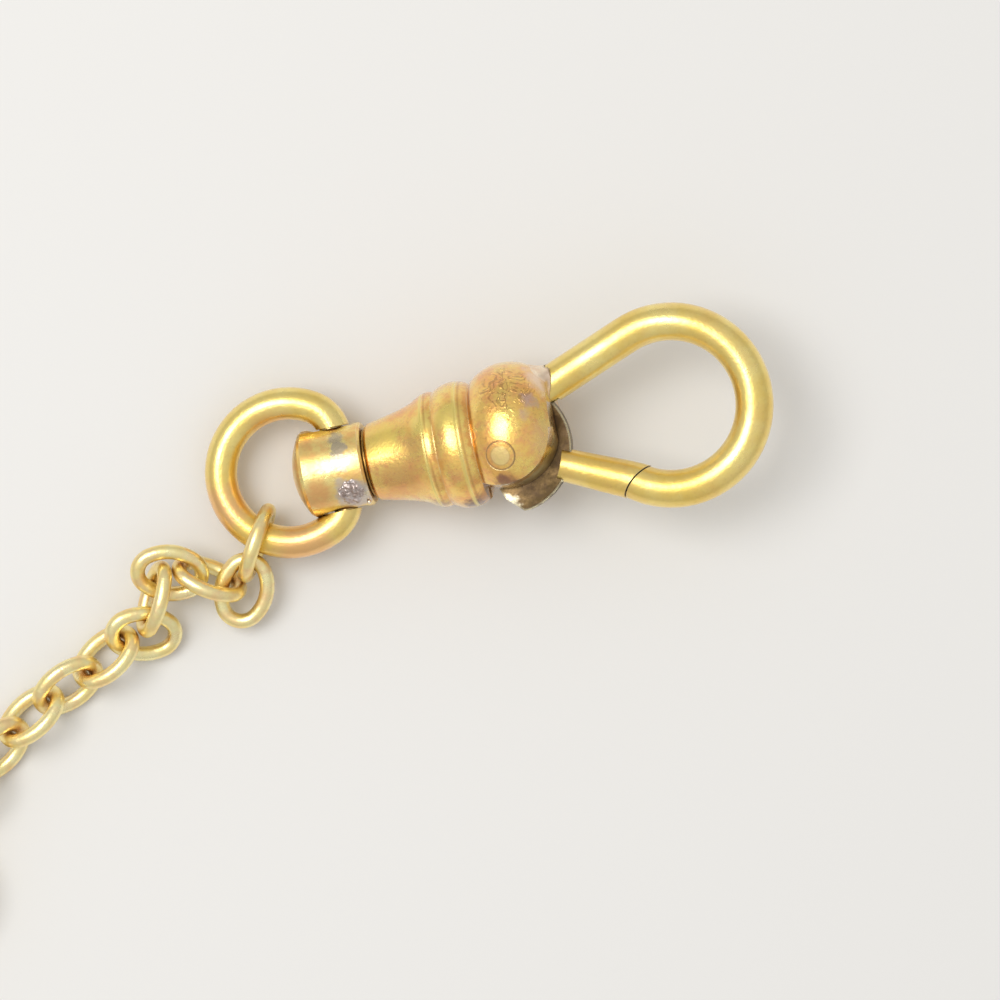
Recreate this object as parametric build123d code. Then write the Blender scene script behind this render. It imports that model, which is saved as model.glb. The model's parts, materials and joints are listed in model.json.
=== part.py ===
from build123d import *
import math
import os

os.makedirs("parts", exist_ok=True)

# A watch chain's swivel clasp, lying on its side with the first stretch of its chain.
# Millimetres. The clasp is drawn with its turning axis along X, the globe's centre at the
# origin, the hook towards +X and the gate towards -Y. It is then tipped until it lies on
# the globe and the barrel, as it does on a table.

# Turned body
cone_length = 7.5
front_length = 2.05
globe_radius = 3.65
cone_radius = 1.95
bead_radius = 3.2
collar_radius = 2.92
notch_radius = 2.86
body_edge_round = 0.15
front_edge_round = 0.3
score_depth = 0.06
score_width = 0.2

# Bore of the body and what turns in it
bore_radius = 1.35
bush_length = 0.7
post_radius = 0.75
post_head_radius = 1.15
post_head_length = 0.6
post_grip = 0.5
running_clearance = 0.04
end_play = 0.04

# Swivel barrel
split_gap = 0.16
washer_thickness = 0.1
washer_radius = 1.7
barrel_length = 3.85
barrel_radius = 2.2
barrel_neck_radius = 2.12
barrel_dome = 0.68
barrel_edge_round = 0.12

# Bail ring and its trunnions
ring_wire = 1.64
ring_mean_radius = 3.5
ring_corner_radius = 1.8
ring_offset = 2.5
ring_set_back = 1.55
ring_side_shift = 0.28
ring_face_gap = 0.07
spot_depth = 0.15
spot_radius = 1.25
trunnion_radius = 0.6
trunnion_length = 1.1
trunnion_clearance = 0.05

# Hook
hook_wire = 1.9
hook_mean_radius = 4.17
hook_centre_x = 7.87
hook_centre_y = -0.07
leg_socket_depth = 2.0
nose_angle = 235.0
leg_slope = 22.0

# Gate, its lever and its pivot
pivot_x = -0.55
pivot_y = -0.93
pin_radius = 0.5
pin_head_radius = 0.72
pin_head_depth = 0.75
pin_proud = 0.03
lever_thickness = 0.85
slot_width = 1.0
lever_radius = 3.3
lever_centre_x = -0.65
lever_centre_y = -0.6
heel_x = -1.85
heel_top = 1.0
heel_bottom = -1.3
lever_front_top = 1.25
lever_tail_depth = 3.1
lever_tail_back = 1.1
lever_tail_front = 0.3
slot_clearance = 0.12
slot_back_gap = 0.1
cheek_radius = 2.8
cheek_centre_y = 0.1
cheek_lean = 0.12
cheek_front_radius = 2.6
gate_root_gap = 0.08
gate_root_wire = 1.6
gate_root_x = 1.85
gate_root_y = -1.88
gate_middle_x = 3.7
gate_middle_y = -2.7
tongue_length = 1.1
scarf_gap = 0.07
scarf_radius = 5.0
scarf_turn = 13.0
scarf_lean = 9.0

# Gate spring
spring_wire = 0.3
spring_mean_radius = 0.8
spring_turns = 6
spring_end_gap = 0.05

# Chain
link_wire = 0.75
link_length = 4.0
link_width = 3.05
joiner_length = 4.2
joiner_width = 3.65
joiner_float = 0.16
link_slack = 0.06
link_end_share = 0.83
end_ring_diameter = 6.4
end_ring_wire = 0.9

# How each link of the chain lies, chosen by eye from the photograph. In order: the angle round
# the end of the link before it where it hangs, how far back along that link's straight side,
# how far it has slid inward (share of the wire), the angle round its own outline that hangs
# there, and its own heading, lift and roll. Angles are in degrees.
joiner_angle = 229.0
joiner_lie_shares = (0, 0, 0.06, 180, 240, -2, 93)
link_lie_shares = [
    (-5, 0, 0, 180, 245, -14, 0),
    (-85, 0.5, 0.14, 180, 149, 8, 60),
    (-10, 0, 0.55, 180, 163, 9, -22),
    (67, 0, 0.74, 180, 243, -8, 68),
    (0, 0, 0.04, -95, 165, 17, -26),
    (46, 0, 0.12, 180, 209, -3, 41),
    (0, 0, 0.04, 180, 205, 0, -45),
    (0, 0, 0.04, 180, 210, 0, 45),
    (0, 0, 0.04, 180, 216, 0, -45),
    (0, 0, 0.04, 180, 224, 0, 45),
    (0, 0, 0.04, 180, 232, 0, -48),
]
end_ring_lie_shares = (0, 0, 0.3, 180, 236, 2, 18)

# One overrun for every cut
overrun = 1.0


def rod(path, wire):
    """A round wire of one thickness along a path."""
    start = Plane(origin=path @ 0, z_dir=path % 0)
    return sweep(start * Circle(wire / 2), path=path)


def bar(radius, x_low, x_high, y=0.0):
    """A cylinder along X."""
    middle = Location(((x_low + x_high) / 2, y, 0), (0, 90, 0))
    return middle * Cylinder(radius, x_high - x_low)


def upright(radius, x, y, z_low, z_high):
    """A cylinder along Z."""
    return Location((x, y, (z_low + z_high) / 2)) * Cylinder(radius, z_high - z_low)


def circle_height(radius, offset):
    """Half the chord of a circle at a distance from its centre."""
    return math.sqrt(radius**2 - offset**2)


# Body outline, as shares of the cone's length and of the radii it names
cone_shares = [(0.86, 0.2), (0.73, 0.44), (0.65, 0.68), (0.59, 0.93)]
collar_start_share = 0.555
first_notch_share = 0.503
bead_middle_share = 0.36
second_notch_share = 0.252
globe_middle_share = 0.12
front_rim_share = 0.7
score_lines = [(0.575, collar_radius), (0.335, bead_radius)]


collar = (-cone_length * collar_start_share, collar_radius)
first_notch = (-cone_length * first_notch_share, notch_radius)
bead_top = (-cone_length * bead_middle_share, bead_radius)
second_notch = (-cone_length * second_notch_share, notch_radius + score_depth)
globe_top = (front_length * globe_middle_share, globe_radius)
front_rim = (front_length - front_edge_round, globe_radius * front_rim_share + front_edge_round)


def body_outline():
    """The closed half outline of the turned body."""
    front_face = (front_length, globe_radius * front_rim_share)
    swell = collar_radius - cone_radius
    cone_points = [(-cone_length * x, cone_radius + swell * r) for x, r in cone_shares]
    cone_start = (-cone_length + body_edge_round, cone_radius)
    line = Polyline((0, 0), (-cone_length, 0), (-cone_length, cone_radius - body_edge_round), cone_start)
    line += Spline(cone_start, *cone_points, collar)
    line += ThreePointArc(collar, middle_of(collar, first_notch, score_depth / 2), first_notch)
    line += ThreePointArc(first_notch, bead_top, second_notch)
    line += ThreePointArc(second_notch, globe_top, front_rim)
    line += Polyline(front_rim, front_face, (front_length, 0), (0, 0))
    return line


def middle_of(first, second, rise):
    """The middle of two outline points, raised a little."""
    return ((first[0] + second[0]) / 2, (first[1] + second[1]) / 2 + rise)


body_solid = revolve(make_face(body_outline()), Axis.X)

# Swivel places along the axis
body_end = -cone_length
barrel_start = body_end - split_gap
barrel_end = barrel_start - barrel_length
bush_inner = body_end + bush_length
post_head_start = bush_inner + end_play
post_head_end = post_head_start + post_head_length
post_tip = barrel_start - post_grip
trunnion_x = barrel_start - ring_set_back
bore_end = heel_x + slot_back_gap / 2
slot_back = heel_x - slot_back_gap

# Hook places
leg_angle = math.radians(leg_slope)
leg_direction = (math.cos(leg_angle), math.sin(leg_angle))
tangent_angle = 90.0 + leg_slope
hook_centre = (hook_centre_x, hook_centre_y)


def hook_point(radius, degrees):
    """A point on a circle about the hook's centre."""
    angle = math.radians(degrees)
    return (hook_centre_x + radius * math.cos(angle), hook_centre_y + radius * math.sin(angle))


leg_top = hook_point(hook_mean_radius, tangent_angle)
leg_length = (leg_top[0] - front_length) / leg_direction[0] + leg_socket_depth
leg_foot = (leg_top[0] - leg_length * leg_direction[0], leg_top[1] - leg_length * leg_direction[1])
hook_sweep = nose_angle - 360.0 - tangent_angle - scarf_turn

# Lever slot, wide enough for the lever's whole swing
lever_reach = lever_radius + math.hypot(lever_centre_x - pivot_x, lever_centre_y - pivot_y)
slot_radius = lever_reach + slot_clearance
slot_disc = upright(slot_radius, pivot_x, pivot_y, -slot_width / 2, slot_width / 2)
slot_block_length = slot_radius + overrun
slot_block = Location((slot_back + slot_block_length, 0, 0)) * Box(
    2 * slot_block_length, 4 * slot_radius, 4 * slot_radius
)
lever_slot = slot_disc & slot_block

# Cheeks cut back on the gate's side
cheek_tool_height = 2 * globe_radius + overrun
cheek_tool_length = front_length - second_notch_share * -cone_length + overrun
cheek_tool_width = globe_radius + overrun
cheek_tool_x = -cone_length * second_notch_share + cheek_tool_length / 2
cheek_block = Box(cheek_tool_length, cheek_tool_width, cheek_tool_height)
cheek_left_block = Location((cheek_tool_x, -cheek_tool_width / 2, 0)) * cheek_block
cheek_front_block = Location((cheek_tool_x, pivot_y - cheek_tool_width / 2, 0)) * cheek_block
cheek_top_radius = cheek_radius - cheek_lean * cheek_tool_height / 2
cheek_cone = Cone(cheek_radius, cheek_top_radius, cheek_tool_height / 2)
cheek_upper = Location((pivot_x, cheek_centre_y, cheek_tool_height / 4)) * cheek_cone
cheek_lower = Location((pivot_x, cheek_centre_y, -cheek_tool_height / 4), (180, 0, 0)) * cheek_cone
cheek_front = upright(cheek_front_radius, pivot_x, pivot_y, -cheek_tool_height, cheek_tool_height)
cheek_left_cut = cheek_left_block - cheek_upper - cheek_lower
cheek_front_cut = cheek_front_block - cheek_front


def make_body():
    """The turned body with its bore, slot, cheeks, pin holes and leg socket."""
    body = body_solid
    for x_share, surface_radius in score_lines:
        score_x = -cone_length * x_share
        bottom = surface_radius - score_depth
        top = surface_radius + 2 * score_depth
        half_width = score_width / 2 * (top - bottom) / score_depth
        groove = Polyline(
            (score_x, bottom), (score_x - half_width, top), (score_x + half_width, top), (score_x, bottom)
        )
        body -= revolve(make_face(groove), Axis.X)
    body -= bar(bore_radius, body_end - overrun, bore_end)
    body -= lever_slot
    body -= cheek_left_cut
    body -= cheek_front_cut
    body -= pin_blank()
    body -= leg_blank()
    return body


def leg_blank():
    """The straight leg of the hook as it sits in its socket."""
    return rod(Line(leg_foot, leg_top), hook_wire)


def pin_shoulder():
    """Height of the step under the pin's head."""
    body_radius = globe_radius - score_depth
    return circle_height(body_radius, pivot_y) - pin_head_depth


def pin_blank():
    """The stepped pin, longer than the body is thick."""
    shank = upright(pin_radius, pivot_x, pivot_y, -globe_radius, globe_radius)
    top = upright(pin_head_radius, pivot_x, pivot_y, pin_shoulder(), globe_radius + overrun)
    bottom = upright(pin_head_radius, pivot_x, pivot_y, -globe_radius - overrun, -pin_shoulder())
    return shank + top + bottom


def make_pin():
    """The pivot pin, both heads dressed off flush with the globe."""
    dressed = Sphere(globe_radius + overrun)
    outline = scale(body_solid, by=(globe_radius + pin_proud) / globe_radius)
    return pin_blank() & outline & dressed


def make_hook():
    """The hook: one wire from its socket round to the scarf of its nose."""
    path = Line(leg_foot, leg_top) + CenterArc(hook_centre, hook_mean_radius, tangent_angle, hook_sweep)
    hook = rod(path, hook_wire)
    hook -= lever_slot
    hook -= scarf_tool(0.0, False)
    return hook


def scarf_tool(gap, keep_nose):
    """The curved scarf between nose and gate: the side that is cut away."""
    middle = hook_point(hook_mean_radius, nose_angle)
    normal = math.radians(nose_angle - 90.0 - scarf_turn)
    turned = Location((middle[0], middle[1], 0), (0, 0, math.degrees(normal)))
    leaning = turned * Location((0, 0, 0), (0, scarf_lean, 0))
    disc = leaning * Location((gap - scarf_radius, 0, 0)) * Cylinder(scarf_radius, 2 * hook_wire)
    if keep_nose:
        return disc
    reach = hook_wire * 2
    block = Location((middle[0], middle[1], 0), (0, 0, nose_angle)) * Box(reach, reach, reach)
    return block - disc


def make_lever():
    """The lever plate that turns on the pin, with its heel and its thumb tail."""
    disc = upright(lever_radius, lever_centre_x, lever_centre_y, -lever_thickness / 2, lever_thickness / 2)
    tail_bottom = lever_centre_y - lever_radius
    outline = Polyline(
        (heel_x, heel_top),
        (heel_x, heel_bottom),
        (-lever_tail_back, -lever_tail_depth),
        (-lever_tail_front, tail_bottom + score_depth),
        (lever_centre_x + lever_radius, tail_bottom),
        (lever_centre_x + lever_radius, lever_front_top),
        (heel_x, heel_top),
    )
    block = extrude(make_face(outline), lever_thickness / 2, both=True)
    hole = upright(pin_radius + running_clearance, pivot_x, pivot_y, -globe_radius, globe_radius)
    return (disc & block) - hole


gate_end = hook_point(hook_mean_radius, nose_angle)


def gate_blank():
    """The tapered arm of the gate, from the lever's rim past the scarf."""
    end_over = hook_point(hook_mean_radius, nose_angle + scarf_turn)
    path = Spline(
        (gate_root_x - tongue_length, gate_root_y + tongue_length * math.tan(leg_angle)),
        (gate_root_x, gate_root_y),
        (gate_middle_x, gate_middle_y),
        gate_end,
        end_over,
    )
    sections = []
    shares = [0.0, 0.2, 0.5, 0.8, 1.0]
    for share in shares:
        wire = gate_root_wire + (hook_wire - gate_root_wire) * min(1.0, share / shares[-2])
        sections.append(Plane(origin=path @ share, z_dir=path % share) * Circle(wire / 2))
    return loft(sections)


def make_gate_arm():
    """The gate's arm, slotted over the lever and scarfed to the hook's nose."""
    arm = gate_blank()
    arm -= scarf_tool(scarf_gap, True)
    arm -= upright(cheek_front_radius + gate_root_gap, pivot_x, pivot_y, -hook_wire, hook_wire)
    arm -= make_lever()
    return arm


def make_bush():
    """The bush that closes the bore and carries the swivel post."""
    ring = bar(bore_radius, body_end, bush_inner)
    return ring - bar(post_radius + running_clearance, body_end - overrun, bush_inner + overrun)


def make_post():
    """The swivel post, headed inside the body and fixed in the barrel."""
    return bar(post_radius, post_tip, post_head_start) + bar(post_head_radius, post_head_start, post_head_end)


def make_washer():
    """The thin washer in the split between body and barrel."""
    play = (split_gap - washer_thickness) / 2
    ring = bar(washer_radius, barrel_start + play, body_end - play)
    return ring - bar(post_radius + running_clearance, barrel_start, body_end)


def make_barrel():
    """The swivel barrel with its domed end, cross hole and spot faces."""
    corner_x = barrel_end + barrel_dome
    line = Polyline(
        (corner_x, 0),
        (barrel_start, 0),
        (barrel_start, barrel_neck_radius - barrel_edge_round),
        (barrel_start - barrel_edge_round, barrel_neck_radius),
        (corner_x + barrel_edge_round, barrel_radius),
        (corner_x - barrel_edge_round / 2, barrel_radius - barrel_edge_round),
    )
    rim_radius = barrel_radius - barrel_edge_round
    rim = (corner_x - barrel_edge_round / 2, rim_radius)
    rise = rim[0] - barrel_end
    dome_radius = (rim_radius**2 + rise**2) / (2 * rise)
    half_angle = math.asin(rim_radius / dome_radius) / 2
    bulge = (barrel_end + dome_radius * (1 - math.cos(half_angle)), dome_radius * math.sin(half_angle))
    line += ThreePointArc(rim, bulge, (barrel_end, 0))
    line += Line((barrel_end, 0), (corner_x, 0))
    barrel = revolve(make_face(line), Axis.X)
    barrel -= bar(post_radius, post_tip, barrel_start + overrun)
    barrel -= cross_bar(trunnion_radius + trunnion_clearance, 2 * barrel_radius + overrun, 0)
    for side in (-1, 1):
        spot = barrel_radius - spot_depth
        barrel -= cross_bar(spot_radius, barrel_radius, side * (spot + barrel_radius / 2))
    return barrel


def cross_bar(radius, length, y):
    """A cylinder along Y on the ring's trunnion axis."""
    return Location((trunnion_x, y, 0), (90, 0, 0)) * Cylinder(radius, length)


ring_centre_x = trunnion_x - ring_offset


def make_ring():
    """The bail ring, drawn in at the barrel and ending in two trunnions."""
    corner_reach = ring_mean_radius - ring_corner_radius
    corner_start = 60.0
    angle = math.radians(corner_start)
    corner_x = ring_centre_x + corner_reach * math.cos(angle)
    upper_centre = (corner_x, ring_side_shift + corner_reach * math.sin(angle))
    lower_centre = (corner_x, ring_side_shift - corner_reach * math.sin(angle))
    path = CenterArc(upper_centre, ring_corner_radius, 0, corner_start)
    path += CenterArc((ring_centre_x, ring_side_shift), ring_mean_radius, corner_start, 360.0 - 2 * corner_start)
    path += CenterArc(lower_centre, ring_corner_radius, -corner_start, corner_start)
    end_x = corner_x + ring_corner_radius
    path += Line((end_x, lower_centre[1]), (end_x, upper_centre[1]))
    ring = rod(path, ring_wire)
    face_y = barrel_radius - spot_depth + ring_face_gap
    ring -= Location((trunnion_x, 0, 0)) * Box(4 * ring_wire, 2 * face_y, 2 * ring_wire)
    for side in (-1, 1):
        ring += cross_bar(trunnion_radius, trunnion_length, side * (face_y - trunnion_length / 2))
    return ring


def make_spring():
    """The coil spring between the post's head and the lever's heel."""
    low = post_head_end + spring_end_gap + spring_wire / 2
    high = heel_x - spring_end_gap - spring_wire / 2
    turns_length = high - low
    helix = Helix(turns_length / spring_turns, turns_length, spring_mean_radius)
    start = Plane(origin=helix @ 0, z_dir=helix % 0)
    coil = sweep(start * Circle(spring_wire / 2), path=helix, is_frenet=True)
    return Location((low, 0, 0), (0, 90, 0)) * coil


def oval(length, width, wire):
    """An oval link lying flat, its long axis along X: two tight arcs and two wide ones that meet smoothly."""
    half_length, half_width = (length - wire) / 2, (width - wire) / 2
    end_radius = link_end_share * half_width
    end_x = half_length - end_radius
    rise = half_width - end_radius
    side_y = (end_x**2 - rise**2) / (2 * rise)
    side_radius = half_width + side_y
    end_angle = math.degrees(math.atan2(side_y, end_x))
    side_turn = 180.0 - 2 * end_angle
    path = CenterArc((end_x, 0), end_radius, -end_angle, 2 * end_angle)
    path += CenterArc((0, -side_y), side_radius, end_angle, side_turn)
    path += CenterArc((-end_x, 0), end_radius, 180.0 - end_angle, 2 * end_angle)
    path += CenterArc((0, side_y), side_radius, 180.0 + end_angle, side_turn)
    return rod(path, wire)


def hang(parent, parent_size, child_size, lie):
    """Where a link hangs in the one before it, and the place of the wire it hangs on."""
    parent_mean, parent_straight, parent_wire = parent_size
    mean, straight, wire = child_size
    seat, back, slid, own, heading, lift, roll = lie
    crossing = parent * Location((parent_straight / 2 - back * parent_straight, 0, 0), (0, 0, seat))
    crossing = crossing * Location((parent_mean, 0, 0))
    step = (parent_wire + wire) / 2 + link_slack + slid * wire
    wire_point = (crossing * Location((-step, 0, 0))).position
    turn = Location((0, 0, 0), (0, 0, heading)) * Location((0, 0, 0), (0, -lift, 0))
    turn = turn * Location((0, 0, 0), (roll, 0, 0))
    own_offset = straight / 2 * math.cos(math.radians(own))
    own_point = Location((own_offset, 0, 0), (0, 0, own)) * Location((mean, 0, 0))
    reach = (turn * own_point).position
    return Location(wire_point - reach) * turn, crossing


def circle_through(first, second, third):
    """Centre and radius of the circle through three outline points."""
    chord_x, chord_y = second[0] - first[0], second[1] - first[1]
    other_x, other_y = third[0] - first[0], third[1] - first[1]
    cross = 2 * (chord_x * other_y - chord_y * other_x)
    chord_square = chord_x**2 + chord_y**2
    other_square = other_x**2 + other_y**2
    x = (other_y * chord_square - chord_y * other_square) / cross
    y = (chord_x * other_square - other_x * chord_square) / cross
    return (first[0] + x, first[1] + y), math.hypot(x, y)


# The clasp lies on the globe and on the barrel's edge
globe_centre, globe_bulge = circle_through(second_notch, globe_top, front_rim)
corner_away = globe_centre[0] - (barrel_end + barrel_dome + barrel_edge_round)
corner_above = barrel_radius - globe_centre[1]
corner_angle = math.atan2(corner_above, corner_away)
clasp_tilt_angle = math.asin(globe_bulge / math.hypot(corner_away, corner_above)) - corner_angle
clasp_tilt = math.degrees(clasp_tilt_angle)
clasp_height = globe_bulge + globe_centre[1] * math.cos(clasp_tilt_angle)
clasp_height -= globe_centre[0] * math.sin(clasp_tilt_angle)
clasp_place = Location((0, 0, clasp_height), (0, -clasp_tilt, 0))

# The ring tips down on its trunnions until the joiner under it lies on the table
trunnion_height = (clasp_place * Location((trunnion_x, 0, 0))).position.Z
joiner_reach = ring_offset - ring_mean_radius * math.cos(math.radians(joiner_angle))
ring_rest_height = link_wire + link_slack + joiner_float + ring_wire / 2
ring_tilt = math.degrees(math.asin((trunnion_height - ring_rest_height) / joiner_reach))
ring_hinge_place = clasp_place * Location((trunnion_x, 0, 0), (0, clasp_tilt - ring_tilt, 0))
ring_place = ring_hinge_place * Location((-trunnion_x, 0, 0))

# Chain places, each from the one before it
ring_centre_place = ring_place * Location((ring_centre_x, ring_side_shift, 0))
ring_size = (ring_mean_radius, 0, ring_wire)
joiner_size = ((joiner_width - link_wire) / 2, joiner_length - joiner_width, link_wire)
link_size = ((link_width - link_wire) / 2, link_length - link_width, link_wire)
end_ring_mean = (end_ring_diameter - end_ring_wire) / 2
end_ring_size = (end_ring_mean, 0, end_ring_wire)

chain_sizes = [joiner_size] + [link_size] * len(link_lie_shares) + [end_ring_size]
joiner_lie = (joiner_angle,) + joiner_lie_shares[1:]
chain_lies = [joiner_lie] + link_lie_shares + [end_ring_lie_shares]
chain_places = []
chain_crossings = []
place = ring_centre_place
size = ring_size
for next_size, lie in zip(chain_sizes, chain_lies):
    place, crossing = hang(place, size, next_size, lie)
    size = next_size
    chain_places.append(place)
    chain_crossings.append(crossing)

# Every piece in its place
pieces = {
    "body_shell": clasp_place * make_body(),
    "hook": clasp_place * make_hook(),
    "pivot_pin": clasp_place * make_pin(),
    "end_bush": clasp_place * make_bush(),
    "gate_spring": clasp_place * make_spring(),
    "lever_plate": clasp_place * make_lever(),
    "gate_arm": clasp_place * make_gate_arm(),
    "swivel_post": clasp_place * make_post(),
    "swivel_washer": clasp_place * make_washer(),
    "swivel_barrel": clasp_place * make_barrel(),
    "bail_ring": ring_place * make_ring(),
    "joiner_link": chain_places[0] * oval(joiner_length, joiner_width, link_wire),
}
plain_link = oval(link_length, link_width, link_wire)
for number in range(len(link_lie_shares)):
    pieces[f"chain_link_{number + 1:02d}"] = chain_places[number + 1] * plain_link
end_ring_path = CenterArc((0, 0), end_ring_mean, 0, 360)
pieces["end_ring"] = chain_places[-1] * rod(end_ring_path, end_ring_wire)

# The origin is the middle of the whole part's underside
boxes = [piece.bounding_box() for piece in pieces.values()]
low_x = min(box.min.X for box in boxes)
high_x = max(box.max.X for box in boxes)
low_y = min(box.min.Y for box in boxes)
high_y = max(box.max.Y for box in boxes)
low_z = min(box.min.Z for box in boxes)
part_shift = Location((-(low_x + high_x) / 2, -(low_y + high_y) / 2, -low_z))

for name, piece in pieces.items():
    export_step(part_shift * piece, f"parts/{name}.step")

print("tilt", round(clasp_tilt, 2), "ring tilt", round(ring_tilt, 2))
print("shift", part_shift.position)
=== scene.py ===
"""Looks of a watch chain's swivel clasp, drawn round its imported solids."""

import json
import logging
import math
from dataclasses import dataclass
from enum import Enum
from typing import Any

import bpy
from mathutils import Matrix, Vector, noise
from mathutils.bvhtree import BVHTree


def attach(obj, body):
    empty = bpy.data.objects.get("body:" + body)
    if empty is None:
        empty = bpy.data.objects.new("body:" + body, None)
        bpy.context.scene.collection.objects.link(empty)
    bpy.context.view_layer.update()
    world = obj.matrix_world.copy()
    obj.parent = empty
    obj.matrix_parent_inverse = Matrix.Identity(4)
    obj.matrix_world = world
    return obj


log = logging.getLogger("clasp")

MM = 0.001
PHOTO_PIXELS = 1000
PHOTO_PIXEL_MM = 0.05
SWIVEL_JOINT_X_MM = -7.66
CHAIN_LINKS = 11
SHADER_SAMPLES = 4

MIX_SHARE, MIX_UNDER, MIX_OVER, MIX_RESULT = 0, 6, 7, 2

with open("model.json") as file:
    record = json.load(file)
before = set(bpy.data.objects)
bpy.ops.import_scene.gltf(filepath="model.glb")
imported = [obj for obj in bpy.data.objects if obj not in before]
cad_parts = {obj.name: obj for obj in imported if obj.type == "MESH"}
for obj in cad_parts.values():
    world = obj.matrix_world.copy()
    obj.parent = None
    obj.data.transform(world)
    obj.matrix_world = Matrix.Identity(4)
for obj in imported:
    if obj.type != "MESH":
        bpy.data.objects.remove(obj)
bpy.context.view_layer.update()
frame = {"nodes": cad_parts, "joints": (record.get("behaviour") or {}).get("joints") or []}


class Body(Enum):
    """The bodies that added pieces ride on."""

    HEAD = "head"
    SWIVEL = "swivel"


class Slot(Enum):
    """The record's material slots, handed to added pieces but not read; the pieces take their finish
    from their own MetalFinish.
    """

    BODY_GOLD = "worn_gold"
    WIRE_GOLD = "gold_wire"


def linear(hex_colour: str) -> tuple[float, float, float, float]:
    """Turns an sRGB hex colour to linear light.

    Args:
        hex_colour: six hex digits, with or without a hash.

    Returns:
        Red, green, blue and an alpha of one.
    """
    digits = hex_colour.lstrip("#")
    channels = [int(digits[i : i + 2], 16) / 255 for i in (0, 2, 4)]
    values = [c / 12.92 if c <= 0.04045 else ((c + 0.055) / 1.055) ** 2.4 for c in channels]
    return (values[0], values[1], values[2], 1.0)


def add_node(
    tree: bpy.types.NodeTree,
    kind: str,
    options: dict[str, Any] | None = None,
    values: dict[str | int, Any] | None = None,
    links: dict[str | int, bpy.types.NodeSocket] | None = None,
) -> bpy.types.Node:
    """Adds a node with its settings and its incoming links.

    Args:
        tree: the node tree.
        kind: the node's type name.
        options: properties of the node.
        values: unlinked inputs, by name or number.
        links: linked inputs, by name or number.

    Returns:
        The new node.
    """
    node = tree.nodes.new(kind)
    for key, value in (options or {}).items():
        setattr(node, key, value)
    for key, value in (values or {}).items():
        node.inputs[key].default_value = value
    for key, socket in (links or {}).items():
        tree.links.new(socket, node.inputs[key])
    return node


@dataclass(frozen=True)
class Rise:
    """The stretch of a measure over which something comes in."""

    start: float
    end: float

    def inputs(self, amount: float = 1.0) -> dict[str | int, float]:
        """Sets a Map Range node to rise from nothing to an amount.

        Args:
            amount: how much there is past the end.

        Returns:
            The node's unlinked inputs.
        """
        return {"From Min": self.start, "From Max": self.end, "To Max": amount}


TONE_RISE = Rise(0.38, 0.62)
BLUSH_RISE = Rise(0.46, 0.66)
FLECK_RISE = Rise(0.52, 0.7)
RIDGE_RISE = Rise(0.0, 1.0)
WRINKLE_RISE = Rise(0.2, 0.9)
EDGE_TURN_RISE = Rise(0.985, 0.9)
HOLLOW_RISE = Rise(0.68, 0.2)
GLOSS_RISE = Rise(0.35, 0.65)
SMOOTH = {"interpolation_type": "SMOOTHSTEP"}
COLOUR_MIX = {"data_type": "RGBA"}


@dataclass(frozen=True)
class ClaspFrame:
    """Where the clasp lies: its globe's centre and its tip towards the table."""

    globe_centre: Vector
    tilt: float

    @classmethod
    def from_record(cls) -> "ClaspFrame":
        """Reads the swivel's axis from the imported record.

        Returns:
            The clasp's frame.
        """
        joint = next(j for j in frame["joints"] if j["name"] == "swivel_turn")
        axis = Vector(joint["axis"])
        centre = Vector(joint["pos_m"]) - axis * SWIVEL_JOINT_X_MM * MM
        return cls(centre, math.atan2(axis.z, axis.x))

    def matrix(self) -> Matrix:
        """Works out the change from local millimetres to the model's metres.

        Returns:
            The matrix.
        """
        turn = Matrix.Rotation(-self.tilt, 4, "Y")
        return Matrix.Translation(self.globe_centre) @ turn @ Matrix.Scale(MM, 4)


CLASP = ClaspFrame.from_record()


def local_millimetres(tree: bpy.types.NodeTree) -> bpy.types.NodeSocket:
    """Surface places in the clasp's own millimetres: X along it, the globe's centre at zero.

    Args:
        tree: the node tree.

    Returns:
        A vector socket.
    """
    coords = add_node(tree, "ShaderNodeTexCoord")
    values = {
        "Location": CLASP.globe_centre,
        "Rotation": (0, -CLASP.tilt, 0),
        "Scale": (MM, MM, MM),
    }
    links = {"Vector": coords.outputs["Object"]}
    mapping = add_node(tree, "ShaderNodeMapping", {"vector_type": "TEXTURE"}, values, links)
    return mapping.outputs[0]


@dataclass(frozen=True)
class StainAndPaintedLight:
    """A soft-edged patch of colour, for stains and for painted highlights and shade, its centre,
    radius and softness in the clasp's millimetres.

    A hollow radius makes it a ring, and a ragged edge wanders as tarnish does.
    """

    centre: tuple[float, float, float]
    radius: float
    softness: float
    hex_colour: str
    amount: float
    hollow_radius: float = 0.0
    ragged: bool = True

    def share(self, tree: bpy.types.NodeTree, place: bpy.types.NodeSocket) -> bpy.types.NodeSocket:
        """How much of the patch shows at each place.

        Args:
            tree: the node tree.
            place: the surface place in millimetres.

        Returns:
            A value socket from nothing to the patch's amount.
        """
        apart = {"operation": "DISTANCE"}
        gap = add_node(tree, "ShaderNodeVectorMath", apart, {1: self.centre}, {0: place})
        links = {0: gap.outputs["Value"]}
        fade = Rise(self.radius + self.softness, self.radius - self.softness).inputs(self.amount)
        outer = add_node(tree, "ShaderNodeMapRange", SMOOTH, fade, links).outputs[0]
        if not self.hollow_radius:
            return outer
        fade = Rise(self.hollow_radius - self.softness, self.hollow_radius + self.softness).inputs()
        inner = add_node(tree, "ShaderNodeMapRange", SMOOTH, fade, links).outputs[0]
        links = {0: outer, 1: inner}
        return add_node(tree, "ShaderNodeMath", {"operation": "MULTIPLY"}, None, links).outputs[0]


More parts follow.
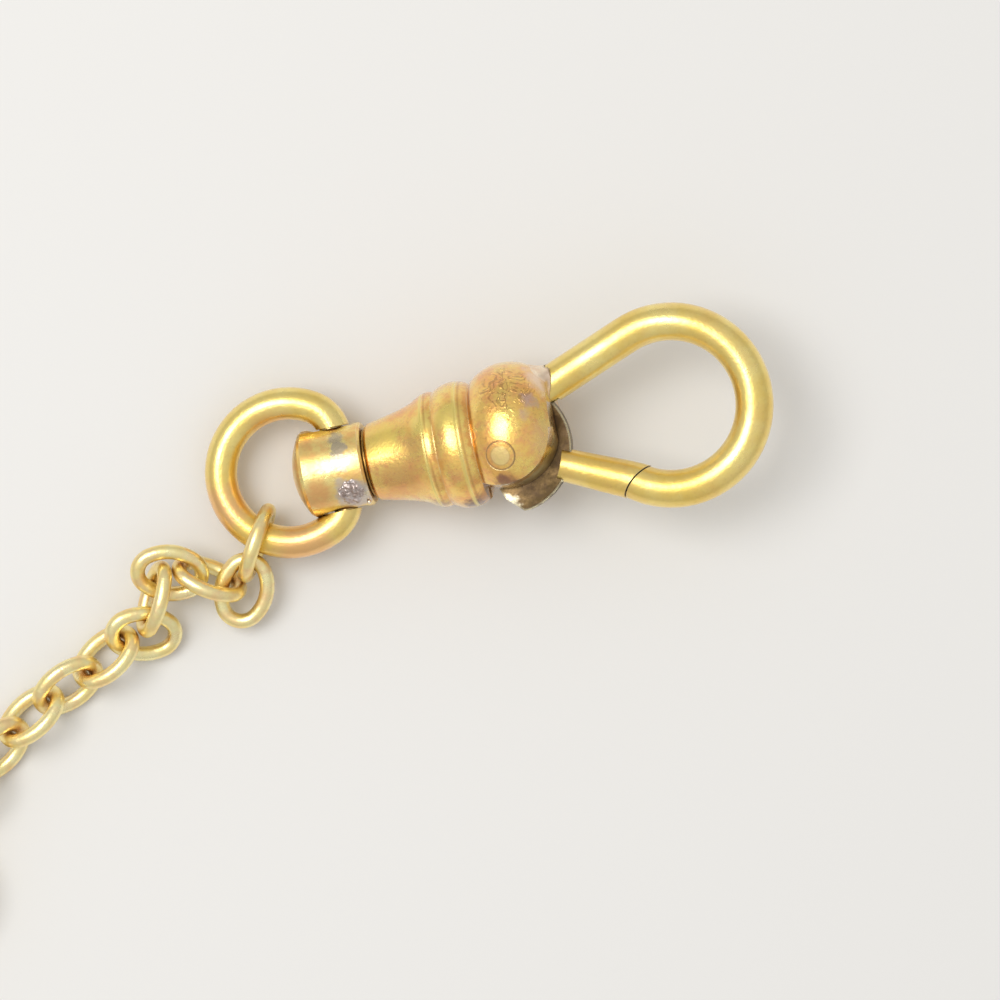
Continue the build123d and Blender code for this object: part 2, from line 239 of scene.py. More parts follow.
@dataclass(frozen=True)
class Band:
    """A stripe round a turned piece, placed along the clasp's axis in its millimetres."""

    x: float
    half_width: float
    softness: float
    hex_colour: str
    amount: float
    ragged: bool = True

    def share(self, tree: bpy.types.NodeTree, place: bpy.types.NodeSocket) -> bpy.types.NodeSocket:
        """How much of the stripe shows at each place.

        Args:
            tree: the node tree.
            place: the surface place in millimetres.

        Returns:
            A value socket from nothing to the stripe's amount.
        """
        along = add_node(tree, "ShaderNodeSeparateXYZ", None, None, {0: place}).outputs[0]
        less = {"operation": "SUBTRACT"}
        gap = add_node(tree, "ShaderNodeMath", less, {1: self.x}, {0: along}).outputs[0]
        gap = add_node(tree, "ShaderNodeMath", {"operation": "ABSOLUTE"}, None, {0: gap}).outputs[0]
        edges = Rise(self.half_width + self.softness, self.half_width - self.softness)
        fade = edges.inputs(self.amount)
        return add_node(tree, "ShaderNodeMapRange", SMOOTH, fade, {0: gap}).outputs[0]


@dataclass(frozen=True)
class MetalFinish:
    """A metal surface: tones that drift, blushes, stains, rubbed edges with a painted highlight,
    grime with painted shade in the hollows, and light relief.
    """

    name: str
    bright: str
    deep: str
    blush: str
    # colour of fine grime flecks, and of the grime and painted shade laid in hollows and between
    # parts
    grime_and_shade: str
    polished: float
    dulled: float
    # colour of the rubbed edges and of the painted highlight along them
    edge: str = "#FBF2C4"
    edge_mm: float = 0.05
    edge_amount: float = 0.6
    sheen_coat: float = 0.0
    drift_mm: float = 2.5
    blush_mm: float = 0.8
    blush_amount: float = 0.5
    fleck_mm: float = 0.1
    fleck_amount: float = 0.25
    pit_mm: float = 0.1
    pit_depth_mm: float = 0.015
    dent_mm: float = 1.4
    dent_depth_mm: float = 0.03
    grime_and_shade_reach_mm: float = 0.35
    grime_and_shade_amount: float = 0.7
    marks: tuple[StainAndPaintedLight | Band, ...] = ()
    wrinkled: StainAndPaintedLight | None = None
    wrinkle_mm: float = 0.75
    wrinkle_depth_mm: float = 0.03
    wrinkle_lines: float = 6.0
    wrinkle_amount: float = 0.6
    wander_mm: float = 0.6
    coat_roughness: float = 0.1

    def ragged_place(
        self, tree: bpy.types.NodeTree, place: bpy.types.NodeSocket
    ) -> bpy.types.NodeSocket:
        """Places pushed about a little, so that what is drawn with them has a wandering edge.

        Args:
            tree: the node tree.
            place: the surface place in millimetres.

        Returns:
            The pushed place.
        """
        grain = {"Scale": 1 / self.wander_mm, "Detail": 5.0, "Roughness": 0.6}
        wander = add_node(tree, "ShaderNodeTexNoise", None, grain, {"Vector": place})
        push = {1: (2 * self.wander_mm,) * 3, 2: (-self.wander_mm,) * 3}
        centred = {"operation": "MULTIPLY_ADD"}
        links = {0: wander.outputs["Color"]}
        shift = add_node(tree, "ShaderNodeVectorMath", centred, push, links)
        links = {0: shift.outputs[0], 1: place}
        return add_node(tree, "ShaderNodeVectorMath", {"operation": "ADD"}, None, links).outputs[0]

    def wrinkle_ridges(
        self, tree: bpy.types.NodeTree, place: bpy.types.NodeSocket
    ) -> bpy.types.NodeSocket:
        """Worm-like ridges, as gold foil draws up when it is overheated.

        Args:
            tree: the node tree.
            place: the surface place in millimetres.

        Returns:
            A value socket, one along the middle of each ridge.
        """
        grain = {"Scale": 1 / self.wrinkle_mm, "Detail": 1.0, "Distortion": 1.0}
        field = add_node(tree, "ShaderNodeTexNoise", None, grain, {"Vector": place}).outputs[0]
        times = {"operation": "MULTIPLY"}
        turns = {1: 2 * math.pi * self.wrinkle_lines}
        field = add_node(tree, "ShaderNodeMath", times, turns, {0: field}).outputs[0]
        wave = add_node(tree, "ShaderNodeMath", {"operation": "SINE"}, None, {0: field}).outputs[0]
        rise = RIDGE_RISE.inputs()
        ridge = add_node(tree, "ShaderNodeMapRange", SMOOTH, rise, {0: wave}).outputs[0]
        where = self.wrinkled.share(tree, self.ragged_place(tree, place))
        return add_node(tree, "ShaderNodeMath", times, None, {0: ridge, 1: where}).outputs[0]

    def tones(
        self, tree: bpy.types.NodeTree, place: bpy.types.NodeSocket, drift: bpy.types.NodeSocket
    ) -> bpy.types.NodeSocket:
        """The metal's own colour: two tones that drift, a blush in blots and fine flecks.

        Args:
            tree: the node tree.
            place: the surface place in millimetres.
            drift: the slow noise that also drives the gloss.

        Returns:
            The colour.
        """
        grain = {"Scale": 1 / (2 * self.blush_mm), "Detail": 6.0, "Roughness": 0.65}
        blots = add_node(tree, "ShaderNodeTexNoise", None, grain, {"Vector": place}).outputs[0]
        grain = {"Scale": 1 / (2 * self.fleck_mm), "Detail": 3.0, "Roughness": 0.7}
        flecks = add_node(tree, "ShaderNodeTexNoise", None, grain, {"Vector": place}).outputs[0]
        share = add_node(tree, "ShaderNodeMapRange", None, TONE_RISE.inputs(), {0: drift}).outputs[0]
        ends = {MIX_UNDER: linear(self.bright), MIX_OVER: linear(self.deep)}
        mixed = add_node(tree, "ShaderNodeMix", COLOUR_MIX, ends, {MIX_SHARE: share})
        colour = mixed.outputs[MIX_RESULT]
        for field, rise, hex_colour in (
            (blots, BLUSH_RISE.inputs(self.blush_amount), self.blush),
            (flecks, FLECK_RISE.inputs(self.fleck_amount), self.grime_and_shade),
        ):
            share = add_node(tree, "ShaderNodeMapRange", None, rise, {0: field}).outputs[0]
            over = {MIX_OVER: linear(hex_colour)}
            links = {MIX_SHARE: share, MIX_UNDER: colour}
            mixed = add_node(tree, "ShaderNodeMix", COLOUR_MIX, over, links)
            colour = mixed.outputs[MIX_RESULT]
        return colour

    def colour(
        self,
        tree: bpy.types.NodeTree,
        place: bpy.types.NodeSocket,
        drift: bpy.types.NodeSocket,
        rounded: bpy.types.NodeSocket,
        ridges: bpy.types.NodeSocket | None,
    ) -> bpy.types.NodeSocket:
        """The metal's colour with its stains and painted marks, rubbed edges with a painted highlight
        along them, and grime with painted shade in its hollows.

        Args:
            tree: the node tree.
            place: the surface place in millimetres.
            drift: the slow noise that also drives the gloss.
            rounded: the normal of the softened edges.
            ridges: the wrinkles, where there are any.

        Returns:
            The colour.
        """
        # Rubbed edges with a painted highlight: pale colour where the softened normal turns away from
        # the flat one
        flat = add_node(tree, "ShaderNodeNewGeometry").outputs["Normal"]
        links = {0: rounded, 1: flat}
        turn = add_node(tree, "ShaderNodeVectorMath", {"operation": "DOT_PRODUCT"}, None, links)
        rise = EDGE_TURN_RISE.inputs(self.edge_amount)
        links = {0: turn.outputs["Value"]}
        share = add_node(tree, "ShaderNodeMapRange", None, rise, links).outputs[0]
        layers = [(share, self.edge)]
        wandering = self.ragged_place(tree, place)
        for mark in self.marks:
            share = mark.share(tree, wandering if mark.ragged else place)
            layers.append((share, mark.hex_colour))
        if ridges is not None:
            rise = WRINKLE_RISE.inputs(self.wrinkle_amount)
            share = add_node(tree, "ShaderNodeMapRange", None, rise, {0: ridges}).outputs[0]
            layers.append((share, self.wrinkled.hex_colour))
        # Grime and painted shade: hollows, creases and the places between parts are darkened where
        # the occlusion finds surfaces close by
        counts = {"samples": SHADER_SAMPLES}
        reach = {"Distance": self.grime_and_shade_reach_mm * MM}
        hollow = add_node(tree, "ShaderNodeAmbientOcclusion", counts, reach).outputs["AO"]
        rise = HOLLOW_RISE.inputs(self.grime_and_shade_amount)
        share = add_node(tree, "ShaderNodeMapRange", None, rise, {0: hollow}).outputs[0]
        layers.append((share, self.grime_and_shade))
        colour = self.tones(tree, place, drift)
        for share, hex_colour in layers:
            over = {MIX_OVER: linear(hex_colour)}
            links = {MIX_SHARE: share, MIX_UNDER: colour}
            mixed = add_node(tree, "ShaderNodeMix", COLOUR_MIX, over, links)
            colour = mixed.outputs[MIX_RESULT]
        return colour

    def relief(
        self,
        tree: bpy.types.NodeTree,
        place: bpy.types.NodeSocket,
        rounded: bpy.types.NodeSocket,
        ridges: bpy.types.NodeSocket | None,
    ) -> bpy.types.NodeSocket:
        """Dents, pits and, where there are any, wrinkles.

        Args:
            tree: the node tree.
            place: the surface place in millimetres.
            rounded: the normal of the softened edges.
            ridges: the wrinkles, where there are any.

        Returns:
            The bumped normal.
        """
        layers = []
        dents = (self.dent_mm, self.dent_depth_mm, 1.0)
        pits = (self.pit_mm, self.pit_depth_mm, 3.0)
        for size_mm, depth_mm, detail in (dents, pits):
            grain = {"Scale": 1 / (2 * size_mm), "Detail": detail, "Roughness": 0.6}
            height = add_node(tree, "ShaderNodeTexNoise", None, grain, {"Vector": place}).outputs[0]
            layers.append((height, depth_mm))
        if ridges is not None:
            layers.append((ridges, self.wrinkle_depth_mm))
        normal = rounded
        for height, depth_mm in layers:
            links = {"Height": height, "Normal": normal}
            depth = {"Distance": depth_mm * MM}
            normal = add_node(tree, "ShaderNodeBump", None, depth, links).outputs[0]
        return normal

    def build(self) -> bpy.types.Material:
        """Builds the material.

        Returns:
            The finished material.
        """
        material = bpy.data.materials.new(self.name)
        material.use_nodes = True
        tree = material.node_tree
        tree.nodes.clear()
        place = local_millimetres(tree)
        counts = {"samples": SHADER_SAMPLES}
        edge = {"Radius": self.edge_mm * MM}
        rounded = add_node(tree, "ShaderNodeBevel", counts, edge).outputs[0]
        grain = {"Scale": 1 / self.drift_mm, "Detail": 4.0, "Roughness": 0.6}
        drift = add_node(tree, "ShaderNodeTexNoise", None, grain, {"Vector": place}).outputs[0]
        ridges = self.wrinkle_ridges(tree, place) if self.wrinkled else None
        ends = {**GLOSS_RISE.inputs(self.dulled), "To Min": self.polished}
        gloss = add_node(tree, "ShaderNodeMapRange", None, ends, {0: drift}).outputs[0]
        values = {
            "Metallic": 1.0,
            "Coat Weight": self.sheen_coat,
            "Coat Roughness": self.coat_roughness,
        }
        links = {
            "Base Color": self.colour(tree, place, drift, rounded, ridges),
            "Roughness": gloss,
            "Normal": self.relief(tree, place, rounded, ridges),
        }
        shader = add_node(tree, "ShaderNodeBsdfPrincipled", None, values, links)
        add_node(tree, "ShaderNodeOutputMaterial", None, None, {0: shader.outputs[0]})
        return material


# Gold-filled wire, drawn and rubbed by years in a pocket: bright yellow, with soft dents
WIRE = MetalFinish(
    "gold_filled_wire_rubbed", bright="#FDE68E", deep="#F2D068",
    blush="#F0C078", grime_and_shade="#8A6430", polished=0.26, dulled=0.38,
    sheen_coat=0.8, edge="#FFF0B0", drift_mm=3.0, blush_mm=0.9, blush_amount=0.35, fleck_amount=0.1,
    marks=(
        # Peach and orange blushes round the bail ring
        StainAndPaintedLight((-15.3, -0.9, 0.2), 1.3, 0.6, "#F2AE7A", 0.6),
        StainAndPaintedLight((-11.6, -3.7, 0.3), 1.6, 0.7, "#F2AE80", 0.55),
        StainAndPaintedLight((-12.0, 2.7, 0.2), 1.0, 0.5, "#F4B060", 0.45),
    ),
)

# Gold-filled brass, turned, its gold worn thin: orange and rose, pitted, wrinkled by heat and
# tarnished in spots
BODY = MetalFinish(
    "gold_filled_brass_turned_worn", bright="#FFDF78", deep="#FCC464",
    blush="#F2A46C", grime_and_shade="#94602E", polished=0.22, dulled=0.38,
    sheen_coat=1.0, drift_mm=1.7, blush_mm=0.3, blush_amount=0.65, fleck_mm=0.07, fleck_amount=0.26,
    pit_mm=0.09, pit_depth_mm=0.02, edge="#FFF0B4", edge_mm=0.1, edge_amount=0.85, grime_and_shade_reach_mm=0.3,
    dent_depth_mm=0.02, wrinkled=StainAndPaintedLight((0.2, 2.35, 2.65), 1.35, 0.4, "#B88444", 1.0),
    marks=(
        # Lilac and brown tarnish on the globe
        StainAndPaintedLight((1.35, 1.55, 2.95), 0.42, 0.22, "#D4B4A8", 0.75),
        StainAndPaintedLight((1.0, 0.9, 3.35), 0.25, 0.2, "#E0BCA4", 0.6),
        StainAndPaintedLight((-0.6, -2.35, 2.7), 0.55, 0.25, "#7A4A46", 0.75),
        StainAndPaintedLight((0.15, -2.7, 2.3), 0.4, 0.25, "#8A5448", 0.7),
        # Pale places where solder was wiped
        StainAndPaintedLight((2.0, 2.2, 1.2), 1.0, 0.4, "#F4DCC8", 0.85),
        StainAndPaintedLight((1.9, -0.6, 2.8), 0.9, 0.5, "#F6C894", 0.5),
        # Painted highlight: a pale yellow crescent along the cheek's lower edge beside the slot
        StainAndPaintedLight((1.6, -1.4, 1.3), 1.0, 0.3, "#FFF0B4", 0.85),
        StainAndPaintedLight((0.5, -2.3, 1.2), 0.9, 0.3, "#FFF0B4", 0.85),
        # Painted shade low in the grooves and in the bead's seam with the globe, and dulled gold on
        # the cone
        StainAndPaintedLight((-1.75, -2.8, 0.9), 0.9, 0.4, "#4A2C1C", 0.9),
        StainAndPaintedLight((-2.6, -3.0, 0.9), 0.55, 0.25, "#5A3420", 0.85),
        StainAndPaintedLight((-4.2, -2.6, 1.0), 0.45, 0.25, "#7A4826", 0.7),
        StainAndPaintedLight((-6.0, -1.3, 1.8), 1.2, 0.6, "#E0A060", 0.6),
        StainAndPaintedLight((-5.0, 0.3, 2.5), 0.45, 0.25, "#DCA868", 0.5),
        # Painted highlights: pale yellow on the upper side of the cone, collar and bead
        StainAndPaintedLight((-6.4, 1.0, 1.9), 0.9, 0.45, "#FFE674", 0.7),
        StainAndPaintedLight((-4.35, 1.5, 2.4), 0.6, 0.25, "#FFE880", 0.7),
        StainAndPaintedLight((-2.9, 1.5, 2.8), 0.7, 0.3, "#FFE87C", 0.7),
        # Painted highlights along the edges of the collar and bead, each beside a groove darkened
        # with painted shade; orange in the two notches
        Band(-4.33, 0.08, 0.06, "#FFE67C", 0.7, False),
        Band(-4.12, 0.05, 0.05, "#B87A38", 0.45, False),
        Band(-2.53, 0.08, 0.06, "#FFE67C", 0.7, False),
        Band(-2.32, 0.05, 0.05, "#B87A38", 0.45, False),
        Band(-1.77, 0.07, 0.06, "#8A5428", 0.7, False),
        Band(-1.95, 0.16, 0.1, "#E8A044", 0.5),
        Band(-3.77, 0.12, 0.08, "#E5A048", 0.5),
        # The pivot pin's end: dirt round it, a rubbed face and its turned ring
        StainAndPaintedLight((-0.55, -0.93, 3.44), 0.77, 0.03, "#A87440", 0.6, 0.68, False),
        StainAndPaintedLight((-0.55, -0.93, 3.44), 0.5, 0.06, "#FFEAA0", 0.6, 0.0, False),
        StainAndPaintedLight((-0.55, -0.93, 3.44), 0.52, 0.03, "#B88A4C", 0.35, 0.46, False),
    ),
)

# The barrel's gold is rubbed through to grey metal beside the split
BARREL = MetalFinish(
    "gold_filled_brass_turned_barrel", bright="#FFE998", deep="#FAD27C",
    blush="#F4B87C", grime_and_shade="#8A6038", polished=0.24, dulled=0.36,
    sheen_coat=0.3, drift_mm=1.4, blush_mm=0.35, blush_amount=0.55, fleck_mm=0.08, fleck_amount=0.14,
    pit_depth_mm=0.016, dent_depth_mm=0.02, edge="#FFF6CC", edge_amount=0.8,
    marks=(
        # Bare grey metal
        StainAndPaintedLight((-8.75, 1.0, 1.9), 0.45, 0.1, "#C2B49A", 0.9),
        StainAndPaintedLight((-8.7, 0.35, 2.1), 0.42, 0.1, "#C8BAA0", 0.85),
        StainAndPaintedLight((-8.85, 1.55, 1.5), 0.4, 0.12, "#BEB096", 0.85),
        StainAndPaintedLight((-8.2, 0.55, 2.1), 0.22, 0.1, "#D8CAA6", 0.6),
        # Solder smeared round the lumps, and blushes near the domed end
        StainAndPaintedLight((-8.35, -1.6, 1.5), 0.9, 0.3, "#C8BEB8", 0.9),
        StainAndPaintedLight((-8.9, -0.9, 2.0), 0.35, 0.2, "#D4C6B8", 0.7),
        StainAndPaintedLight((-10.2, -1.2, 1.8), 0.8, 0.4, "#E8A870", 0.5),
        StainAndPaintedLight((-10.4, 1.5, 1.5), 0.5, 0.3, "#E8B074", 0.4),
    ),
)

# Brass plate, sawn out and never plated: brown and dull, with a bright rim that is partly rubbed and
# partly a painted highlight
LEVER = MetalFinish(
    "brass_plate_sawn_tarnished", bright="#7E6644", deep="#54442C",
    blush="#645040", grime_and_shade="#1E150C", polished=0.3, dulled=0.45,
    edge="#FBF2CC", edge_mm=0.18, edge_amount=1.0, drift_mm=1.2, blush_mm=0.4, blush_amount=0.5,
    # Painted highlight: a pale patch on the rim where it shows below the globe
    marks=(StainAndPaintedLight((-1.1, -3.6, 0.35), 0.6, 0.2, "#FAF0CC", 0.9),),
)

# Fine gold-filled chain wire: paler than the clasp, with peach grime and painted shade in its hollows
CHAIN = MetalFinish(
    "gold_filled_chain_wire", bright="#FFF4B8", deep="#FDE69C",
    blush="#F8D09A", grime_and_shade="#C89860", polished=0.26, dulled=0.4,
    edge="#FFF4C4", drift_mm=1.2, blush_mm=0.5, blush_amount=0.7, fleck_amount=0.12,
    grime_and_shade_reach_mm=0.4, dent_mm=0.6, dent_depth_mm=0.02,
)

# Silver solder flowed and left lumpy: grey, with brown lines of grime and painted shade in its
# hollows
SOLDER = MetalFinish(
    "silver_solder_flowed", bright="#E0D6D2", deep="#B4A49C",
    blush="#D0AE9C", grime_and_shade="#5A443A", polished=0.26, dulled=0.42,
    drift_mm=0.5, blush_mm=0.2, fleck_amount=0.3, pit_mm=0.07, pit_depth_mm=0.03, edge_amount=0.2,
)

# Silver solder wiped thin over gold: nearly white, with a pink cast from the metal below
SOLDER_WIPED = MetalFinish(
    "silver_solder_wiped", bright="#FFF0D8", deep="#F4DCC0",
    blush="#F6D0B4", grime_and_shade="#8A7058", polished=0.24, dulled=0.38,
    drift_mm=0.6, blush_mm=0.25, fleck_amount=0.12, edge_amount=0.2,
)

# Brass turned for bushes, seen only from inside
BUSH = MetalFinish(
    "brass_turned_plain", bright="#D8B060", deep="#BE9048",
    blush="#B08850", grime_and_shade="#3A2A18", polished=0.25, dulled=0.4,
)

# Steel ground for pins
STEEL = MetalFinish(
    "steel_ground_pin", bright="#B4B2AE", deep="#8E8C88",
    blush="#98948E", grime_and_shade="#3A3836", polished=0.2, dulled=0.35,
)

# Steel drawn and coiled for springs
SPRING = MetalFinish(
    "steel_drawn_spring", bright="#908E8A", deep="#6E6C68",
    blush="#7A7672", grime_and_shade="#302E2C", polished=0.25, dulled=0.4,
)


@dataclass(frozen=True)
class Softbox:
    """A square soft light: where it hangs from the photograph's middle, its side and its watts."""

    name: str
    place_mm: tuple[float, float, float]
    side_mm: float
    power: float


@dataclass
class Studio:
    """Floor, lights and the camera of the photograph, all placed from the globe's centre."""

    camera_distance_mm: float = 250.0
    middle_height_mm: float = 3.7
    centre_x_mm: float = -1.467
    centre_y_mm: float = -3.083
    roll_degrees: float = 11.0
    sensor_mm: float = 36.0
    clip_end_m: float = 10.0
    floor_reach_mm: float = 900.0
    floor_hex: str = "#E9E7E3"
    floor_roughness: float = 0.9
    horizon_strength: float = 0.5
    overhead_strength: float = 0.76
    key: Softbox = Softbox("key_softbox", (-120.0, 75.0, 280.0), 180.0, 0.45)

    def place(self, x_mm: float, y_mm: float, height_mm: float) -> Vector:
        """Turns a place beside the photograph's middle to the model's metres.

        Args:
            x_mm: how far along the clasp.
            y_mm: how far across it.
            height_mm: how far above the floor.

        Returns:
            The place.
        """
        middle = CLASP.globe_centre / MM
        along = middle.x + self.centre_x_mm + x_mm
        across = middle.y + self.centre_y_mm + y_mm
        return Vector((along, across, height_mm)) * MM

    def build_camera(self) -> None:
        """Looks straight down from the photograph's place, rolled as it is there."""
        data = bpy.data.cameras.new("camera")
        camera = bpy.data.objects.new("camera", data)
        bpy.context.scene.collection.objects.link(camera)
        width = PHOTO_PIXELS * PHOTO_PIXEL_MM
        data.sensor_width = self.sensor_mm
        data.lens = self.sensor_mm * self.camera_distance_mm / width
        data.clip_start = MM
        data.clip_end = self.clip_end_m
        camera.location = self.place(0.0, 0.0, self.middle_height_mm + self.camera_distance_mm)
        camera.rotation_euler = (0, 0, math.radians(-self.roll_degrees))
        bpy.context.scene.camera = camera

    def build_floor(self) -> None:
        """A plain pale floor that keeps the clasp's shadow."""
        reach = self.floor_reach_mm * MM
        corners = [(-reach, -reach, 0), (reach, -reach, 0), (reach, reach, 0), (-reach, reach, 0)]
        mesh = bpy.data.meshes.new("floor")
        mesh.from_pydata(corners, [], [(0, 1, 2, 3)])
        floor = bpy.data.objects.new("floor", mesh)
        bpy.context.scene.collection.objects.link(floor)
        material = bpy.data.materials.new("paper_floor_plain")
        material.use_nodes = True
        shader = material.node_tree.nodes["Principled BSDF"]
        shader.inputs["Base Color"].default_value = linear(self.floor_hex)
        shader.inputs["Roughness"].default_value = self.floor_roughness
        mesh.materials.append(material)

    def add_softbox(self, box: Softbox) -> None:
        """Adds a soft light aimed at the clasp.

        Args:
            box: the light.
        """
        data = bpy.data.lights.new(box.name, "AREA")
        data.size = box.side_mm * MM
        data.energy = box.power
        light = bpy.data.objects.new(box.name, data)
        bpy.context.scene.collection.objects.link(light)
        light.location = self.place(*box.place_mm)
        aim = self.place(0.0, 0.0, 0.0) - light.location
        light.rotation_mode = "QUATERNION"
        light.rotation_quaternion = aim.to_track_quat("-Z", "Y")

    def build_world(self) -> None:
        """A soft white room, a little brighter overhead."""
        world = bpy.data.worlds.new("room")
        world.use_nodes = True
        bpy.context.scene.world = world
        tree = world.node_tree
        tree.nodes.clear()
        coords = add_node(tree, "ShaderNodeTexCoord")
        split = add_node(tree, "ShaderNodeSeparateXYZ", None, None, {0: coords.outputs["Generated"]})
        ends = {"To Min": self.horizon_strength, "To Max": self.overhead_strength}
        rise = add_node(tree, "ShaderNodeMapRange", None, ends, {0: split.outputs[2]})
        links = {"Strength": rise.outputs[0]}
        back = add_node(tree, "ShaderNodeBackground", None, {"Color": (1, 1, 1, 1)}, links)
        add_node(tree, "ShaderNodeOutputWorld", None, None, {0: back.outputs[0]})

    def build(self) -> None:
        """Builds the whole studio."""
        self.build_camera()
        self.build_floor()
        self.build_world()
        self.add_softbox(self.key)
        bpy.context.scene.view_settings.view_transform = "Standard"


@dataclass
class DressedNodes:
    """A group of CAD nodes that share a finish."""

    nodes: tuple[str, ...]
    finish: MetalFinish

    def dress(self) -> None:
        """Gives each node its material."""
        material = self.finish.build()
        for name in self.nodes:
            node = frame["nodes"][name]
            node.data.materials.clear()
            node.data.materials.append(material)
            log.info("dressed %s in %s", name, self.finish.name)


class Surface:
    """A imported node's surface, for laying pieces on it in the clasp's millimetres."""

    def __init__(self, node_name: str) -> None:
        """Reads the node's mesh.

        Args:
            node_name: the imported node.
        """
        node = frame["nodes"][node_name]
        to_local = CLASP.matrix().inverted() @ node.matrix_world
        corners = [to_local @ vertex.co for vertex in node.data.vertices]
        faces = [list(face.vertices) for face in node.data.polygons]
        self.tree = BVHTree.FromPolygons(corners, faces)

    def hit(self, start: Vector, direction: Vector) -> Vector:
        """Where a ray first meets the surface.

        Args:
            start: where the ray starts.
            direction: where it goes.

        Returns:
            The meeting place, or the start if the ray misses.
        """
        place = self.tree.ray_cast(start, direction)[0]
        return start if place is None else place


@dataclass
class SolderPiece:
    """A lump of solder given as a grid of places, riding on one of the bodies."""

    name: str
    body: Body
    slot: Slot
    finish: MetalFinish

    def add_grid(self, rows: list[list[Vector]], closed: bool) -> None:
        """Makes the piece's mesh, dressed and riding on its body.

        Args:
            rows: places in the clasp's millimetres, each row as long as the next.
            closed: whether the end of a row meets its start.
        """
        width = len(rows[0])
        corners = [CLASP.matrix() @ place for row in rows for place in row]
        faces = []
        for row in range(len(rows) - 1):
            for column in range(width if closed else width - 1):
                beside = (column + 1) % width
                low, high = row * width, (row + 1) * width
                faces.append((low + column, low + beside, high + beside, high + column))
        mesh = bpy.data.meshes.new(self.name)
        mesh.from_pydata(corners, [], faces)
        mesh.shade_smooth()
        mesh.materials.append(self.finish.build())
        piece = bpy.data.objects.new(self.name, mesh)
        bpy.context.scene.collection.objects.link(piece)
        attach(piece, self.body.value)
        log.info("soldered %s", self.name)


@dataclass
class LegFillet(SolderPiece):
    """Solder drawn up round the hook's leg where it leaves the globe, widest away from the gate."""

    root: tuple[float, float, float] = (2.05, 2.08, 0.0)
    slope_degrees: float = 22.0
    leg_radius: float = 0.95
    spread: float = 0.7
    climb: float = 0.6
    reach: float = 4.0
    sink: float = 0.03
    least_share: float = 0.03
    fade_start: float = 0.85
    fade_length: float = 1.3
    wobble: float = 0.35
    wobble_grain: float = 2.2
    overlap: float = 0.01
    steps: int = 12
    places_round: int = 120

    def build(self) -> None:
        """Lays the fillet between the globe and the leg."""
        shell = Surface("body_shell")
        turn = Matrix.Rotation(math.radians(self.slope_degrees), 3, "Z")
        leg = turn @ Vector((1, 0, 0))
        across = turn @ Vector((0, 1, 0))
        rows = []
        for step in range(self.steps + 1):
            rise = step / self.steps * math.pi / 2
            row = []
            for number in range(self.places_round):
                angle = 2 * math.pi * number / self.places_round
                outward = across * math.cos(angle) + Vector((0, 0, 1)) * math.sin(angle)
                away = (math.cos(angle) + self.fade_start) / self.fade_length
                away = min(1.0, max(self.least_share, away))
                away *= 1 + self.wobble * noise.noise(outward * self.wobble_grain)
                radius = self.leg_radius - self.overlap + self.spread * away * (1 - math.sin(rise))
                start = Vector(self.root) + leg * self.reach + outward * radius
                foot = shell.hit(start, -leg)
                row.append(foot + leg * (self.climb * away * (1 - math.cos(rise)) - self.sink))
            rows.append(row)
        self.add_grid(rows, True)


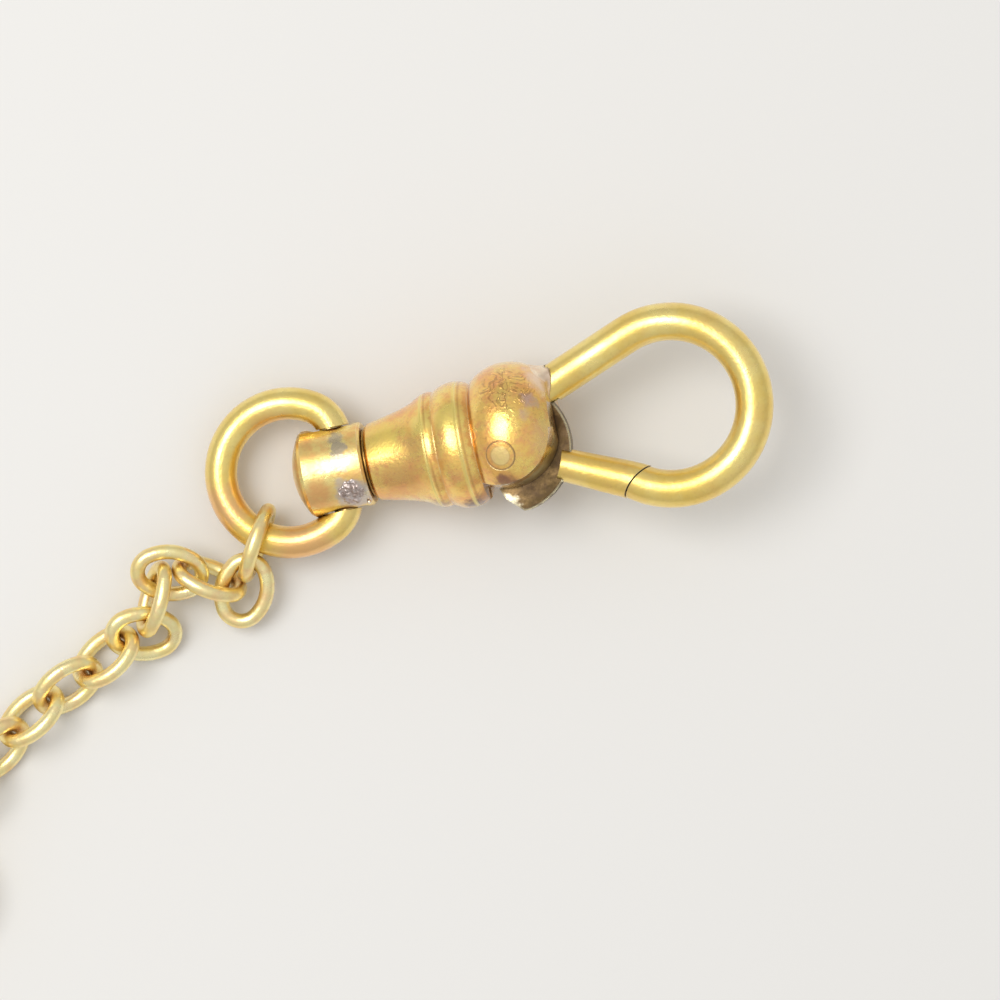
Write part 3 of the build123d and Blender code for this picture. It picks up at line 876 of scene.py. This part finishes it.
@dataclass
class BarrelSolder(SolderPiece):
    """A lumpy run of solder low on the barrel, beside the split."""

    middle_x: float = -8.5
    half_length: float = 0.8
    middle_degrees: float = 40.0
    half_degrees: float = 24.0
    reach: float = 3.0
    height: float = 0.17
    sink: float = 0.05
    patch_size: float = 1.1
    patch_falloff: float = 1.35
    patch_wander: float = 0.7
    patch_grain: float = 2.2
    rim_steepness: float = 2.2
    lump_base: float = 0.5
    large_lumps: float = 1.2
    large_grain: float = 3.3
    small_lumps: float = 0.4
    small_grain: float = 7.0
    steps: int = 60

    def rise_at(self, place: Vector, along: float, across: float) -> float:
        """How far the solder stands out of the barrel at a place.

        Args:
            place: the place on the barrel.
            along: from minus one to one over the patch's length.
            across: from minus one to one over the patch's turn.

        Returns:
            Millimetres, less than nothing where the solder is sunk.
        """
        shape = self.patch_size - self.patch_falloff * (along**2 + across**2)
        shape += self.patch_wander * noise.noise(place * self.patch_grain)
        lumps = self.lump_base + self.large_lumps * abs(noise.noise(place * self.large_grain))
        lumps += self.small_lumps * noise.noise(place * self.small_grain)
        proud = self.height * max(0.0, min(1.0, self.rim_steepness * shape)) * lumps - self.sink
        return min(self.height, proud)

    def build(self) -> None:
        """Lays the lumps, which sink into the barrel at a ragged edge."""
        barrel = Surface("swivel_barrel")
        rows = []
        for step in range(self.steps + 1):
            along = 2 * step / self.steps - 1
            row = []
            for number in range(self.steps + 1):
                across = 2 * number / self.steps - 1
                angle = math.radians(self.middle_degrees + across * self.half_degrees)
                x = self.middle_x + along * self.half_length
                outward = Vector((0, -math.sin(angle), math.cos(angle)))
                place = barrel.hit(Vector((x, 0, 0)) + outward * self.reach, -outward)
                row.append(place + outward * self.rise_at(place, along, across))
            rows.append(row)
        self.add_grid(rows, False)


@dataclass
class SolderBead(SolderPiece):
    """A small round bead of solder."""

    centre: tuple[float, float, float] = (-7.83, -1.93, 1.06)
    radius: float = 0.11
    steps: int = 16

    def build(self) -> None:
        """Makes the bead."""
        rows = []
        for step in range(self.steps + 1):
            tip = math.pi * step / self.steps
            row = []
            for number in range(2 * self.steps):
                turn = math.pi * number / self.steps
                side = Vector((0, math.cos(turn), math.sin(turn)))
                outward = Vector((1, 0, 0)) * math.cos(tip) + side * math.sin(tip)
                row.append(Vector(self.centre) + outward * self.radius)
            rows.append(row)
        self.add_grid(rows, True)


def main() -> None:
    """Builds the studio and dresses every piece."""
    logging.basicConfig(level=logging.INFO)
    Studio().build()
    DressedNodes(("hook", "gate_arm", "bail_ring"), WIRE).dress()
    DressedNodes(("body_shell", "pivot_pin"), BODY).dress()
    DressedNodes(("swivel_barrel",), BARREL).dress()
    DressedNodes(("lever_plate",), LEVER).dress()
    links = [f"chain_link_{number:02d}" for number in range(1, CHAIN_LINKS + 1)]
    DressedNodes(("joiner_link", *links, "end_ring"), CHAIN).dress()
    DressedNodes(("end_bush", "swivel_washer"), BUSH).dress()
    DressedNodes(("swivel_post",), STEEL).dress()
    DressedNodes(("gate_spring",), SPRING).dress()
    LegFillet("solder_leg_fillet", Body.HEAD, Slot.WIRE_GOLD, SOLDER_WIPED).build()
    BarrelSolder("solder_barrel_run", Body.SWIVEL, Slot.BODY_GOLD, SOLDER).build()
    SolderBead("solder_barrel_bead", Body.SWIVEL, Slot.BODY_GOLD, SOLDER_WIPED).build()


if __name__ == "__main__":
    main()
